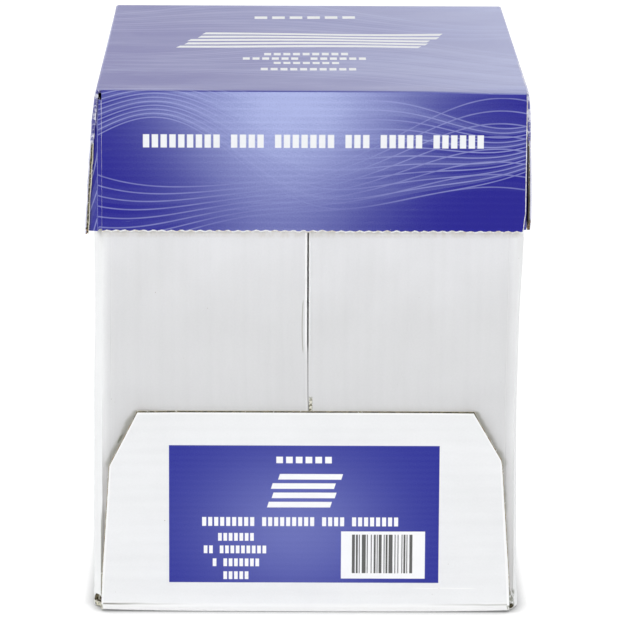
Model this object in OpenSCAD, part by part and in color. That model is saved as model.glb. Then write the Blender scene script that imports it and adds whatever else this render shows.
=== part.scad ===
// Carton of wrapped copy paper: a folded corrugated tray and a telescoping lid

/* [Paper] */
// Width of a sheet, across the label end
sheet_w = 210; // [190:1:220]
// Length of a sheet
sheet_l = 297; // [260:1:305]
// Height of one wrapped ream
ream_h = 54; // [40:0.5:60]
// Number of reams in the stack
ream_count = 5; // [1:1:6]
// Rounding of a wrapped ream's long edges
ream_round = 1.2; // [0.4:0.1:3]
// Thickness of one folded layer of wrapper at a ream's ends
wrap_t = 0.3; // [0.2:0.05:0.6]
// Overlap of the two folded end flaps of the wrapper
wrap_lap = 14; // [4:1:24]

/* [Tray board] */
// Thickness of the tray's corrugated board
tray_t = 3; // [2.4:0.1:4]
// Play between the reams and each side wall
side_play = 1; // [0.5:0.1:4]
// Play between the reams and each end wall
end_play = 0.9; // [0.5:0.1:4]
// Headroom from the top ream to the tray's rim
head_room = 2.4; // [0.5:0.1:3.5]
// Inside radius of a fold in the tray's board
crease_r = 0.5; // [0.2:0.1:1]
// Spacing of the board's flutes
flute_pitch = 6.3; // [5:0.1:9]
// Thickness of each of the board's facings
facing_t = 0.4; // [0.3:0.05:0.6]
// Thickness of the wavy medium between the facings
medium_t = 0.4; // [0.3:0.05:0.6]
// Depth to which the flutes stand open at a cut edge
flute_depth = 5; // [2:0.5:12]

/* [Tray ends] */
// Gap between the two end flaps at the rim
seam_top = 1.5; // [0.8:0.1:3]
// Gap between the two end flaps at the floor
seam_low = 0.5; // [0.4:0.1:2]
// Clearance under the end flaps
flap_foot_gap = 0.8; // [0.4:0.1:2]
// Height of the open notch at each bottom corner
notch_h = 6; // [4:0.5:12]

/* [Label flap] */
// Height of the flap that is glued up over each end
label_h = 108; // [70:1:150]
// Distance from the flap's foot to the tray's corner
label_inset = 1.6; // [1:0.1:6]
// Narrowing of each side up to the chamfer
label_taper = 4.6; // [0:0.2:10]
// Height of the chamfered top corners
label_chamfer_h = 29; // [10:1:50]
// Width of the chamfered top corners
label_chamfer_w = 15; // [5:1:40]

/* [Lid board] */
// Thickness of the lid's corrugated board
lid_t = 1.5; // [1.2:0.1:2.4]
// Overall height of the lid
lid_h = 74; // [50:1:120]
// Play between the tray's sides and the lid's tabs
lid_side_play = 0.3; // [0.3:0.1:2]
// Play between the tray's ends and the lid's end walls
lid_end_play = 0.5; // [0.3:0.1:2]
// Outward lean of the left wall, which the full tray pushes out, in degrees
lean_left = 3.4; // [0:0.2:5]
// Outward lean of the right wall, in degrees
lean_right = 1.8; // [0:0.2:5]

/* [Lid corners] */
// Length of the glued corner tabs
tab_l = 52; // [30:1:80]
// Length of the stretch of tab that turns from the fold to the leaning wall
splay_l = 14; // [8:1:25]
// Clearance between a tab's top edge and the top panel
tab_relief = 3.2; // [2:0.2:8]
// How much shorter than the walls the tabs are
tab_short = 1.6; // [0.8:0.2:5]
// Setback of the side walls' cut ends from the end walls' faces
side_setback = 0.5; // [0:0.1:1.5]

/* [Serrated edge] */
// Spacing of the cutting rule's teeth
tooth_pitch = 4.75; // [3:0.25:8]
// Depth of the teeth
tooth_d = 0.7; // [0.3:0.1:1.2]

/* [Hidden] */
$fn = 48;

// Reach of cutting bodies past the faces that they cut
cut = 1;
// Steps in the round outside of a lid fold
arc_steps = 6;
// Length of the strips that a splayed corner panel is stretched between
strip = 0.4;
// Depth to which the panel's faces and the tabs' glued faces lie under those of the board that they join
bury = 0.1;

// The reams and the space for them
ream_end_l = sheet_l + 4 * wrap_t;
inner_w = sheet_w + 2 * side_play;
inner_l = ream_end_l + 2 * end_play;
wrap_reach = (ream_h + wrap_lap) / 2;

// The tray, from the inside out
tray_w = inner_w + 2 * tray_t;
tray_l = inner_l + 2 * tray_t;
carton_l = tray_l + 2 * tray_t;
floor_z = tray_t;
wall_foot_z = floor_z + flap_foot_gap;
rim_z = floor_z + ream_count * ream_h + head_room;

// The label flap's outline, as half widths
label_foot = tray_w / 2 - label_inset;
label_knee = label_foot - label_taper;
label_top = label_knee - label_chamfer_w;

// The lid, whose tabs clear the tray and whose side walls lie outside the tabs
tab_x = tray_w / 2 + lid_side_play;
side_x = tab_x + lid_t;
end_y = tray_l / 2 + lid_end_play;
side_y = end_y + lid_t - side_setback;
wall_h = lid_h - lid_t;

// A rectangle centred on the origin with true round corners
module round_rect(w, l, r) {
    square([w - 2 * r, l], center = true);
    square([w, l - 2 * r], center = true);
    for (x = [-1, 1], y = [-1, 1])
        translate([x * (w / 2 - r), y * (l / 2 - r)]) circle(r = r);
}

// The section of a folded strip: a floor with two walls, with the tray's folds, centred in width
module channel_section(w, h) {
    difference() {
        translate([0, h]) round_rect(w, 2 * h, tray_t);
        translate([0, h + tray_t]) round_rect(w - 2 * tray_t, 2 * h, crease_r);
        translate([-w, h]) square([2 * w, 2 * h]);
    }
}

// Points on an arc around a centre, from one angle to another
function arc(centre, r, from, to) =
    [for (i = [0:arc_steps]) let (a = from + (to - from) * i / arc_steps) centre + r * [cos(a), sin(a)]];

// The section of the lid across a pair of walls that hang from z = 0 and lean outwards by two angles
module lid_section(half, left, right) {
    run = wall_h + tooth_d;
    down_right = run * [tan(right), -1];
    down_left = run * [-tan(left), -1];
    polygon(concat(
        [[-half, 0], [half, 0], [half, 0] + down_right],
        [[half, 0] + down_right + lid_t * [cos(right), sin(right)]],
        arc([half, 0], lid_t, right, 90),
        arc([-half, 0], lid_t, 90, 180 - left),
        [[-half, 0] + down_left + lid_t * [-cos(left), sin(left)]],
        [[-half, 0] + down_left]
    ));
}

// What is cut away below the lid's walls, with the teeth of the cutting rule
module serration(w) {
    teeth = floor(w / tooth_pitch);
    pitch = w / teeth;
    low = -wall_h - tooth_d - lid_t;
    polygon(concat(
        [[w / 2 + cut, -wall_h], [w / 2 + cut, low], [-w / 2 - cut, low], [-w / 2 - cut, -wall_h]],
        [for (i = [0:2 * teeth]) [-w / 2 + i * pitch / 2, (i % 2) * tooth_d - wall_h]]
    ));
}

// The open cells on both sides of the wavy medium, along a run of board centred on the origin
module flute_cells(run) {
    count = floor(run / flute_pitch);
    half = tray_t / 2 - facing_t;
    foot = (flute_pitch - medium_t) / 2;
    crest = medium_t / 2;
    for (i = [0:count - 1], side = [-1, 1])
        translate([(i + 0.5 + side / 4 - count / 2) * flute_pitch, 0])
            polygon([
                [-foot, side * half], [foot, side * half],
                [crest, side * (medium_t - half)], [-crest, side * (medium_t - half)]
            ]);
}

// The flutes that stand open along the tray's rim
module rim_flutes() {
    flap_run = (inner_w - seam_top) / 2;
    for (side = [-1, 1]) {
        translate([side * (inner_w + tray_t) / 2, 0]) rotate(90) flute_cells(inner_l);
        for (flap = [-1, 1])
            translate([flap * (inner_w + seam_top) / 4, side * (inner_l + tray_t) / 2])
                flute_cells(flap_run);
    }
}

// One end of the tray: the seam where its two end flaps nearly meet
module end_seam() {
    seam_h = rim_z - wall_foot_z + cut;
    rotate([90, 0, 0])
        linear_extrude(height = tray_t + 2 * cut)
            polygon([
                [-seam_low / 2, 0], [seam_low / 2, 0],
                [seam_top / 2, seam_h], [-seam_top / 2, seam_h]
            ]);
}

// The side walls and the end flaps that are folded from them, as one ring
module tray_walls() {
    difference() {
        translate([0, 0, wall_foot_z])
            linear_extrude(height = rim_z - wall_foot_z)
                difference() {
                    round_rect(tray_w, tray_l, tray_t);
                    round_rect(inner_w, inner_l, crease_r);
                }
        translate([0, 0, rim_z - flute_depth]) linear_extrude(height = flute_depth + cut) rim_flutes();
        for (side = [0, 180]) rotate([0, 0, side]) {
            translate([0, -inner_l / 2 + cut, wall_foot_z]) end_seam();
            for (x = [-1, 1])
                translate([x * (inner_w + tray_w) / 4, -carton_l / 2, 0])
                    translate([-tray_t / 2 - (x < 0 ? cut : 0), 0, 0])
                        cube([tray_t + cut, carton_l / 2 - inner_l / 2, notch_h]);
        }
    }
}

// The floor with the folds up into the side walls
module tray_floor() {
    rotate([90, 0, 0])
        linear_extrude(height = inner_l, center = true)
            channel_section(tray_w, wall_foot_z);
}

// The label flap's outline, with its two slanting side edges moved outwards by grow
module label_outline(grow) {
    knee_z = label_h - label_chamfer_h;
    polygon([
        [-label_foot - grow, 0], [label_foot + grow, 0],
        [label_knee + grow, knee_z], [label_top + grow, label_h],
        [-label_top - grow, label_h], [-label_knee - grow, knee_z]
    ]);
}

// The flutes that stand open along the label flaps' side edges
module label_flutes() {
    run = label_h - tray_t;
    difference() {
        rotate([90, 0, 90])
            linear_extrude(height = 2 * label_foot + cut, center = true)
                for (side = [-1, 1])
                    translate([side * (tray_l + tray_t) / 2, tray_t + run / 2]) rotate(90) flute_cells(run);
        rotate([90, 0, 0]) linear_extrude(height = carton_l, center = true) label_outline(-flute_depth);
    }
}

// The two label flaps, folded up from the floor and glued over the end flaps
module label_flaps() {
    difference() {
        intersection() {
            rotate([90, 0, 90])
                linear_extrude(height = 2 * label_foot, center = true)
                    channel_section(carton_l, label_h);
            rotate([90, 0, 0]) linear_extrude(height = carton_l, center = true) label_outline(0);
        }
        label_flutes();
    }
}

module tray() {
    color("whitesmoke") union() {
        tray_walls();
        tray_floor();
        label_flaps();
    }
}

// The lid's end walls and the top panel between them, hanging from z = 0
module lid_end_walls() {
    difference() {
        rotate([90, 0, 90]) linear_extrude(height = 2 * tab_x, center = true) lid_section(end_y, 0, 0);
        rotate([90, 0, 0])
            linear_extrude(height = 2 * (end_y + lid_t + cut), center = true) serration(2 * tab_x);
    }
}

// The lid's side walls and the top panel between them, open at the corners for the end folds
module lid_side_walls() {
    difference() {
        rotate([90, 0, 0])
            linear_extrude(height = 2 * side_y, center = true) lid_section(side_x, lean_left, lean_right);
        for (side = [-1, 1])
            translate([-side_x, side * (end_y + lid_t) - lid_t, 0])
                cube([2 * side_x, 2 * lid_t, 2 * lid_t]);
        rotate([90, 0, 90])
            linear_extrude(height = 4 * side_x, center = true) serration(2 * side_y);
    }
}

// Places its children in the frame of the +X side wall, which hangs from the fold's inside line
module leaning(lean) {
    translate([side_x, 0, 0]) rotate([0, -lean, 0]) children();
}

// The tab at the +X, +Y corner: its fold, the stretch that turns to the leaning wall and the glued stretch
module lid_tab(lean) {
    tab_h = wall_h - tab_relief - tab_short;
    tab_foot = -tab_relief - tab_h;
    panel_t = lid_t - 2 * bury;
    translate([tab_x, end_y, tab_foot])
        linear_extrude(height = tab_h) polygon(concat([[0, 0]], arc([0, 0], lid_t, 0, 90)));
    hull() {
        translate([tab_x + bury, end_y, tab_foot + bury])
            cube([panel_t, strip, tab_h - 2 * bury]);
        leaning(lean) translate([bury - lid_t, end_y - splay_l - strip, tab_foot + bury])
            cube([panel_t, strip, tab_h - 2 * bury]);
    }
    leaning(lean) translate([-lid_t, end_y - tab_l, tab_foot])
        cube([lid_t + bury, tab_l - splay_l, tab_h]);
}

module lid() {
    color("darkslateblue") translate([0, 0, rim_z]) union() {
        lid_end_walls();
        lid_side_walls();
        for (y = [0, 1]) mirror([0, y, 0]) {
            lid_tab(lean_right);
            mirror([1, 0, 0]) lid_tab(lean_left);
        }
    }
}

// One folded end flap of a ream's wrapper, narrowing at 45 degrees from the edge that it folds from
module wrap_flap(reach, layers) {
    foot = sheet_w / 2 - ream_round;
    rotate([90, 0, 0])
        linear_extrude(height = layers * wrap_t)
            polygon([[-foot, 0], [foot, 0], [foot - reach, reach], [reach - foot, reach]]);
}

// One end of a wrapped ream: the lower flap, then the upper flap folded down over it
module wrap_end() {
    lap_z = ream_h - wrap_reach;
    translate([0, -sheet_l / 2, ream_round]) wrap_flap(wrap_reach - ream_round, 1);
    translate([0, -sheet_l / 2, ream_h - ream_round])
        mirror([0, 0, 1]) wrap_flap(wrap_reach - ream_round, 1);
    intersection() {
        translate([0, -sheet_l / 2, ream_h - ream_round])
            mirror([0, 0, 1]) wrap_flap(wrap_reach - ream_round, 2);
        translate([-sheet_w / 2, -ream_end_l / 2, lap_z])
            cube([sheet_w, ream_end_l / 2, wrap_reach - lap_z]);
    }
}

// A sealed, wrapped ream, lying flat with its foot on z = 0
module ream() {
    color("white") union() {
        rotate([90, 0, 0])
            linear_extrude(height = sheet_l, center = true)
                translate([0, ream_h / 2]) round_rect(sheet_w, ream_h, ream_round);
        wrap_end();
        rotate([0, 0, 180]) wrap_end();
    }
}

tray();
lid();
for (i = [1:ream_count])
    translate([0, 0, floor_z + (i - 1) * ream_h]) ream();
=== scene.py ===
import math
from functools import reduce

import bpy
import numpy as np
from mathutils import Matrix, Vector


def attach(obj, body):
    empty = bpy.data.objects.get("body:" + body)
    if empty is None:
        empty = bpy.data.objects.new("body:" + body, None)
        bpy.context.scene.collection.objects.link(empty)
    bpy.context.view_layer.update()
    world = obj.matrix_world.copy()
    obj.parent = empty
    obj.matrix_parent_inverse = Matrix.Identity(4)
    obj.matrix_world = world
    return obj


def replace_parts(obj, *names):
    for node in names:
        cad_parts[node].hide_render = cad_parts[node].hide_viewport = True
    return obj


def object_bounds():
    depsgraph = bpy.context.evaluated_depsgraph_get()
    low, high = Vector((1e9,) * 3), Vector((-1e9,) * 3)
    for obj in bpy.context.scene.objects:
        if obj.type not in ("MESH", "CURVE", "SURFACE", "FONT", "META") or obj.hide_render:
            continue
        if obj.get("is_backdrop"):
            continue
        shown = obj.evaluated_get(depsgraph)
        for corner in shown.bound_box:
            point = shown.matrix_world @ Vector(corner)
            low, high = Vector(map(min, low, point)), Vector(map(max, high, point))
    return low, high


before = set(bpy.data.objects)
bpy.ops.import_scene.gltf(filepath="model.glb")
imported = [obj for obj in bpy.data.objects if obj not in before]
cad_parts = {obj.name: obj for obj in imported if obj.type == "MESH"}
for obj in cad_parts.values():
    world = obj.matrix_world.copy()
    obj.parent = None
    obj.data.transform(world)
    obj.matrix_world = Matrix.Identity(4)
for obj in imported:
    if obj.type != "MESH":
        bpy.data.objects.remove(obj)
CAD_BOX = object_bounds()
MM = 0.001


def put_in_scene(name, data):
    made = bpy.data.objects.new(name, data)
    bpy.context.scene.collection.objects.link(made)
    return made


# Camera: the photograph's view of the labelled end, from a little above, in millimetres and degrees

CAMERA_AT = (-16.64, -2457.2, 651.4)
CAMERA_PITCH, CAMERA_YAW, CAMERA_ROLL = 12.029, 0.452, 0.288
CAMERA_LENS, CAMERA_SENSOR = 261.46, 36


def make_camera():
    pitch, yaw, roll = (math.radians(a) for a in (CAMERA_PITCH, CAMERA_YAW, CAMERA_ROLL))
    forward = Vector((math.sin(yaw) * math.cos(pitch), math.cos(yaw) * math.cos(pitch), -math.sin(pitch)))
    level = Vector((math.cos(yaw), -math.sin(yaw), 0))
    upright = level.cross(forward)
    right = level * math.cos(roll) + upright * math.sin(roll)
    up = upright * math.cos(roll) - level * math.sin(roll)
    data = bpy.data.cameras.new("camera")
    data.lens, data.sensor_width = CAMERA_LENS, CAMERA_SENSOR
    data.clip_start, data.clip_end = 0.1, 50
    camera = put_in_scene("camera", data)
    turn = Matrix((right, up, -forward)).transposed().to_4x4()
    camera.matrix_world = Matrix.Translation(Vector(CAMERA_AT) * MM) @ turn
    bpy.context.scene.camera = camera


make_camera()


# Node trees: a socket that takes part in Python expressions, and one method that makes every other node

class Signal:
    """A socket of a node tree. Arithmetic on it adds Math nodes."""

    def __init__(self, home, socket):
        self.home, self.socket = home, socket

    def math(self, operation, *others):
        return self.home.math(operation, self, *others)

    def __add__(self, other):
        return self.math("ADD", other)

    def __sub__(self, other):
        return self.math("SUBTRACT", other)

    def __rsub__(self, other):
        return self.home.math("SUBTRACT", other, self)

    def __mul__(self, other):
        return self.math("MULTIPLY", other)

    def __truediv__(self, other):
        return self.math("DIVIDE", other)

    def __abs__(self):
        return self.math("ABSOLUTE")

    __radd__, __rmul__ = __add__, __mul__

    def squared(self):
        return self.math("POWER", 2)

    def at_least(self, other):
        return self.math("MAXIMUM", other)

    def at_most(self, other):
        return self.math("MINIMUM", other)

    def ramp(self, low, high):
        """0 below low, 1 above high and a smooth step between; low may be the larger one."""
        sockets = {"Value": self, "From Min": low, "From Max": high}
        return self.home.node("ShaderNodeMapRange", {"interpolation_type": "SMOOTHSTEP"}, sockets)

    def parts(self):
        made = self.home.node("ShaderNodeSeparateXYZ", {}, {"Vector": self}).socket.node
        return [Signal(self.home, socket) for socket in made.outputs]


class Nodes:
    """A node tree, empty at first."""

    def __init__(self, tree):
        self.tree = tree
        tree.nodes.clear()

    def node(self, kind, settings=None, sockets=None, out=0):
        """Makes a node: its settings, then its sockets' values or links. A list gives one socket several."""
        made = self.tree.nodes.new(kind)
        for name, value in (settings or {}).items():
            setattr(made, name, value)
        for key, values in (sockets or {}).items():
            for value in values if isinstance(values, list) else [values]:
                if isinstance(value, Signal):
                    self.tree.links.new(value.socket, made.inputs[key])
                else:
                    made.inputs[key].default_value = value
        return Signal(self, made.outputs[out]) if made.outputs else None

    def math(self, operation, *values):
        return self.node("ShaderNodeMath", {"operation": operation}, dict(enumerate(values)))

    def scale(self, vector, amount):
        """A vector or a colour, times a factor that may vary."""
        return self.node("ShaderNodeVectorMath", {"operation": "SCALE"}, {0: vector, "Scale": amount})


class Paint(Nodes):
    """A material, built from expressions on its signals."""

    def __init__(self, name):
        self.material = bpy.data.materials.new(name)
        self.material.use_nodes = True
        super().__init__(self.material.node_tree)

    def attribute(self, name, out="Vector"):
        return self.node("ShaderNodeAttribute", {"attribute_name": name}, {}, out)

    def object_place(self):
        return self.node("ShaderNodeTexCoord", {}, {}, "Object")

    def place(self, x, y, z=0.0):
        return self.node("ShaderNodeCombineXYZ", {}, {"X": x, "Y": y, "Z": z})

    def noise(self, place, scale, detail=2.0, roughness=0.5, distortion=0.0):
        sockets = {"Vector": place, "Scale": scale, "Detail": detail, "Roughness": roughness,
                   "Distortion": distortion}
        return self.node("ShaderNodeTexNoise", {}, sockets)

    def specks(self, place, scale, size):
        """1 inside sparse round specks about size of a cell across."""
        cell = self.node("ShaderNodeTexVoronoi", {}, {"Vector": place, "Scale": scale}, "Distance")
        return cell.ramp(size, size * 0.5)

    def mix(self, factor, first, second):
        settings = {"data_type": "RGBA"}
        first, second = (c if isinstance(c, Signal) else (*c, 1) for c in (first, second))
        return self.node("ShaderNodeMix", settings, {0: factor, 6: first, 7: second}, 2)

    def bump(self, height, distance):
        return self.node("ShaderNodeBump", {}, {"Height": height, "Distance": distance})

    def finish(self, color, roughness, normal=None, **constants):
        sockets = {"Base Color": color if isinstance(color, Signal) else (*color, 1), "Roughness": roughness}
        sockets.update({key.replace("_", " "): value for key, value in constants.items()})
        if normal is not None:
            sockets["Normal"] = normal
        surface = self.node("ShaderNodeBsdfPrincipled", {}, sockets)
        self.node("ShaderNodeOutputMaterial", {}, {"Surface": surface})
        return self.material


# Board finishes. The attribute blank holds a point's place on the flat blank, in metres, and in z its depth
# in the board, from 0 on the outer face to 1 on the inner one. The attribute wear is 1 along worn folds; at
# the tray's seam and the label flap's foot its whitening is also a painted highlight.

TRAY_FLUTE = 0.0063
LID_FLUTE = 0.0035
KRAFT = (0.42, 0.27, 0.14)
WHITE_BOARD = (0.875, 0.88, 0.885)
WRAPPER_WHITE = (0.86, 0.87, 0.88)
INK_WHITE = (0.97, 0.97, 0.98)
SCORE_V = 0.1573  # the score that the tray's ends are folded at
INK_EDGE = 0.00012  # half the width over which print fades out


def flute_wave(across, pitch):
    """The washboard that the flutes print through a facing, from 0 to 1."""
    return (across * (2 * math.pi / pitch)).math("SINE") * 0.5 + 0.5


def white_face(p, blank, wear, tone):
    """Colour and height of the clay-coated white face."""
    u, v, _ = blank.parts()
    flutes = flute_wave(v, TRAY_FLUTE)
    cloud = p.noise(blank, 22, 4, 0.6)
    grain = p.noise(blank, 900, 2, 0.6)
    streak = p.noise(p.place(u * 8, v * 160), 1.0, 3, 0.6)
    soil = p.noise(blank, 7, 3, 0.55).ramp(0.55, 0.8)
    level = (cloud - 0.5) * 0.11 + (grain - 0.5) * 0.06 + (streak - 0.5) * 0.06 + flutes * 0.008 + 0.99
    level = level - soil * 0.035
    color = p.scale(tone, level)
    color = p.mix(soil * 0.12, color, (0.62, 0.615, 0.60))
    # The score by the end folds: a groove in the bump, and a faint light line in the colour that is a painted
    # highlight.
    score = abs(abs(v) - SCORE_V).ramp(0.0005, 0.0002)
    color = p.mix((wear * 0.9).at_least(score * 0.12), color, (0.97, 0.97, 0.965))
    fleck = p.specks(blank, 160, 0.055) * p.noise(blank, 31, 1).ramp(0.56, 0.62)
    color = p.mix(fleck * 0.65, color, (0.32, 0.28, 0.22))
    height = flutes * 0.35 + cloud * 0.8 + grain * 0.12 + streak * 0.3 - score * 0.6
    return color, height


def outside(place, low, high):
    """How far a place is beyond a span given in millimetres, in metres: negative inside it."""
    return abs(place - (low + high) / 2 * MM) - (high - low) / 2 * MM


def row(v, low, high):
    return outside(v, low, high).ramp(INK_EDGE, -INK_EDGE)


def bars(u, v, boxes, soft=INK_EDGE):
    """1 inside any of the boxes, each given by its low and high corner in millimetres."""
    apart = [outside(u, box[0], box[2]).at_least(outside(v, box[1], box[3])) for box in boxes]
    return reduce(Signal.at_most, apart).ramp(soft, -soft)


def words(u, middle, spans, pitch, fill=0.36):
    """A row of small blocks in groups, counted in blocks from its middle: plain marks in place of words."""
    place = (u - middle * MM) / (pitch * MM)
    sides = [abs(place - (start + end) / 2) - (end - start) / 2 for start, end in spans]
    phase = 0.5 - spans[0][0] % 1
    across = abs((place + phase + 0.5).math("FRACT") - 0.5) - fill
    return reduce(Signal.at_most, sides).at_least(across).ramp(0.03, -0.03)


def sheet_stack(u, v, low, high, middle, width, count, slant):
    """A plain sign for a stack of paper: sheets seen from the edge, one above the other, a little askew."""
    step = (high - low) / count * MM
    level = (v - low * MM) / step
    lean = (u - (middle * MM)) - (level - count / 2) * (slant * MM)
    sheet = (abs(level.math("FRACT") - 0.5) - 0.30) * step
    sway = (level.math("FLOOR") * 2.4).math("SINE") * 0.0012
    side = abs(lean - sway) - width / 2 * MM
    ends = abs(level - count / 2) * step - count / 2 * step
    return sheet.at_least(side).at_least(ends).ramp(0.00014, -0.00014)


LABEL_X, SHOULDER_Z = -0.0014, 0.0785


def flap_side(x, high):
    """Half the label flap's width at a height, for the shaders: straight sides, then the cut-off corners."""
    right = x.ramp(-0.0001, 0.0001)
    above = high - SHOULDER_Z - right * 0.003
    return (above * -0.06).at_most(above * (right * -0.071 - 0.5104)) + 0.1027 - right * 0.0005


# Marks on the tray's front, in metres from its middle and from the floor; the wrinkle, fold line and gap
# strip are painted shade

DENT_X, DENT_Z = -0.0032, 0.153
SCRAP_X, SCRAP_Z = 0.0008, 0.1090
SPOT_X, SPOT_Z = -0.0985, 0.0925
FOLD_SHADE_X, GAP_SHADE_X = -0.1087, -0.1071


def tray_face():
    p = Paint("tray_white_board")
    blank = p.attribute("blank")
    _, v, _ = blank.parts()
    x, y, high = p.object_place().parts()
    # Painted shade: the end flaps take a darker copy of the white board than the side walls and the label
    # flap, paler towards the top.
    upper = (high + p.noise(blank, 20, 2) * 0.05).ramp(0.175, 0.250)
    end_flap_shade = p.mix(upper, (0.70, 0.70, 0.705), (0.81, 0.81, 0.83))
    tone = p.mix(abs(v).ramp(0.1512, 0.1565), (0.88, 0.885, 0.885), end_flap_shade)
    color, height = white_face(p, blank, p.attribute("wear", "Fac"), tone)
    front = y.ramp(-0.150, -0.152)
    ragged = (p.noise(p.place(x * 900, high * 500), 1.0, 3, 0.7) - 0.5) * 0.002
    cloudy = p.noise(p.place(x * 14, high * 10), 1.0, 3, 0.6)
    # Painted shadow: a patchy tan band on the tray just under the lid's toothed foot.
    shadow_breaks = p.noise(p.place(x * 190, high * 90), 1.0, 3, 0.6).ramp(0.40, 0.62)
    lid_foot_shadow = (high + ragged).ramp(0.1992, 0.2012) * high.ramp(0.2045, 0.2030) * (shadow_breaks * 0.6 + 0.4)
    color = p.mix(lid_foot_shadow * abs(v).ramp(0.150, 0.153) * (cloudy * 0.5), color, (0.42, 0.36, 0.24))
    # Painted shade: a thin dark curved line for a wrinkle left of the seam.
    bow = ((high - DENT_Z) * 67).squared()
    dent = abs(x - DENT_X + (1.0 - bow) * 0.0006).ramp(0.0004, 0.0001) * bow.ramp(1.0, 0.6)
    color = p.mix(dent * front * 0.7, color, (0.36, 0.35, 0.30))
    scrap = abs(high - SCRAP_Z).ramp(0.0075, 0.0045) * abs(x - SCRAP_X + ragged * 0.5).ramp(0.0012, 0.0006)
    torn = p.mix(p.noise(blank, 900, 2).ramp(0.42, 0.58), (0.16, 0.15, 0.09), (0.78, 0.76, 0.66))
    color = p.mix(scrap * front, color, torn)
    # Painted shadow: an olive-grey band on the end flaps beside the label flap's sides and cut-off corners,
    # patchy, and fainter low on the left.
    beside = abs(x - LABEL_X) - flap_side(x, high)
    wide = (p.noise(p.place(x * 110, high * 110), 1.0, 3) - 0.5) * 0.004
    wide = high.ramp(0.076, 0.080) * 0.0012 + wide + 0.0012
    flap_shadow = (beside - wide).ramp(0.0013, -0.0011) * high.ramp(0.1082, 0.1068) * high.ramp(0.002, 0.03)
    patchy = p.noise(p.place(x * 150, high * 70), 1.0, 3, 0.6) * 0.9 + 0.15
    lower = 1.0 - x.ramp(0.06, -0.06) * high.ramp(0.080, 0.074) * 0.65
    color = p.mix(flap_shadow * front * (patchy * lower).at_most(1.0), color, (0.34, 0.34, 0.275))
    # A small dark spot beside the label flap's left cut-off corner.
    rise = high - SPOT_Z
    dark_spot = ((x - SPOT_X - rise * 0.5) * 1150).squared() + (rise * 330).squared()
    dark_spot = (dark_spot + (p.noise(p.place(x * 900, high * 500), 1.0, 2) - 0.5) * 1.2).ramp(1.0, 0.2)
    # Painted shade: a dark line along the left front corner's fold, where it creases.
    fold_shade = abs(x - FOLD_SHADE_X + ragged * 0.25).ramp(0.0006, 0.0003)
    fold_shade = fold_shade * high.ramp(0.056, 0.045) * high.ramp(0.006, 0.009)
    # Painted shade: a grey strip low on the left, between the corner's fold and the label flap.
    gap_shade = abs(x - GAP_SHADE_X).ramp(0.0018, 0.0008) * high.ramp(0.060, 0.050) * high.ramp(0.006, 0.02)
    corner = y.ramp(-0.1478, -0.1490)
    color = p.mix((fold_shade * 0.8 * corner).at_least(gap_shade * 0.35 * front), color, (0.20, 0.20, 0.15))
    # The twisted liner torn at the left foot corner: cream strands, with near black between them painted as
    # the shade of the hole.
    twist = x.ramp(-0.1075, -0.1085) * high.ramp(0.0065, 0.0055) * y.ramp(-0.1440, -0.1452)
    strands = p.noise(p.place(x * 500, y * 300, high * 500), 1.0, 3, 0.7).ramp(0.42, 0.56)
    color = p.mix(twist * 0.9, color, p.mix(strands, (0.06, 0.055, 0.03), (0.72, 0.69, 0.52)))
    # Painted shade: dark mottling at the right front foot corner, for the gap there.
    foot = x.ramp(0.1035, 0.1055) * high.ramp(0.0125, 0.0095)
    foot = foot * p.noise(p.place(x * 900, high * 420), 1.0, 3).ramp(0.44, 0.56)
    color = p.mix((dark_spot * 0.75).at_least(foot * 0.8) * y.ramp(-0.1485, -0.151), color, (0.21, 0.22, 0.16))
    return p.finish(color, 0.62, p.bump(height, 0.00018), Specular_IOR_Level=0.35)


# The label that is printed on the flap, in millimetres from the tray's middle and from the floor

LABEL_BOX = (-73.05, 15.8, 68.3, 89.8)
CODE_BOX = (17.1, 18.1, 61.1, 43.6)
CODE_BARS = (3, 1, 2, 1, 1, 2, 4, 1, 1, 3, 1, 2, 2, 1, 1, 1, 3, 2,
             1, 1, 2, 1, 4, 2, 1, 2, 1, 3, 1, 1, 2, 1, 1, 2, 3)
CODE_MARGIN, CODE_STEP, CODE_LOW, CODE_HIGH = 5.7, 0.52, 21.0, 41.9
LABEL_ROWS = (  # low, high, middle, spans of blocks, pitch of the blocks
    (80.3, 83.8, -2.5, [(-3, 3)], 5.1),
    (46.4, 51.2, -4.4, [(-16.5, -7.5), (-6.5, 2.5), (3.5, 7.5), (8.5, 16.5)], 3.14),
    (38.4, 42.6, -38, [(-3.5, 3.5)], 2.8), (31.6, 35.8, -38.5, [(-6, -4), (-3, 6)], 2.8),
    (24.6, 28.8, -38, [(-4.5, -3.5), (-2.5, 4.5)], 2.8), (17.6, 21.8, -38, [(-2.5, 2.5)], 2.8))


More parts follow.
